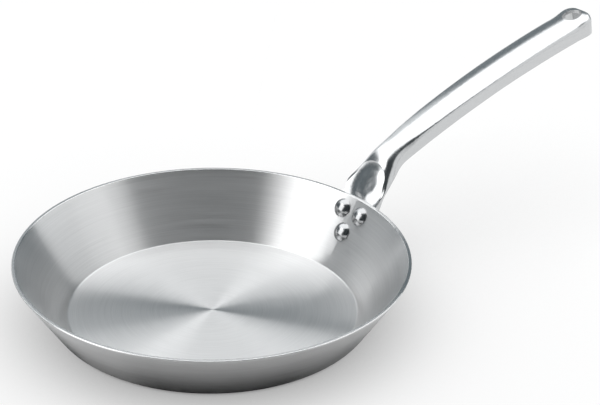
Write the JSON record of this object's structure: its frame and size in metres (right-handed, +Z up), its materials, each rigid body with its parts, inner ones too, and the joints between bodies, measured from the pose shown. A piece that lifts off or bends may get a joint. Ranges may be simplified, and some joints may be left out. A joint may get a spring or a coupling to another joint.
{
  "type": "omelette pan",
  "caption": "Shallow round steel pan with a straight flared wall, riveted to a long pressed steel handle that rises from the rim and ends in an oval hanging hole.",
  "frame": {"origin": "centre of the flat base, on the surface that the pan stands on", "axes": "+Z up along the pan's axis, +X from the pan's axis towards the handle"},
  "size_m": [0.5105, 0.279, 0.1342],
  "materials": {
    "pan_steel": "brushed in circles round the pan's axis",
    "handle_steel": "polished",
    "rivet_steel": "polished"
  },
  "bodies": {
    "root": {"pan_body": "pan_steel", "handle": "handle_steel", "rivet_left": "rivet_steel", "rivet_right": "rivet_steel", "rivet_lower": "rivet_steel"}
  },
  "joints": []
}
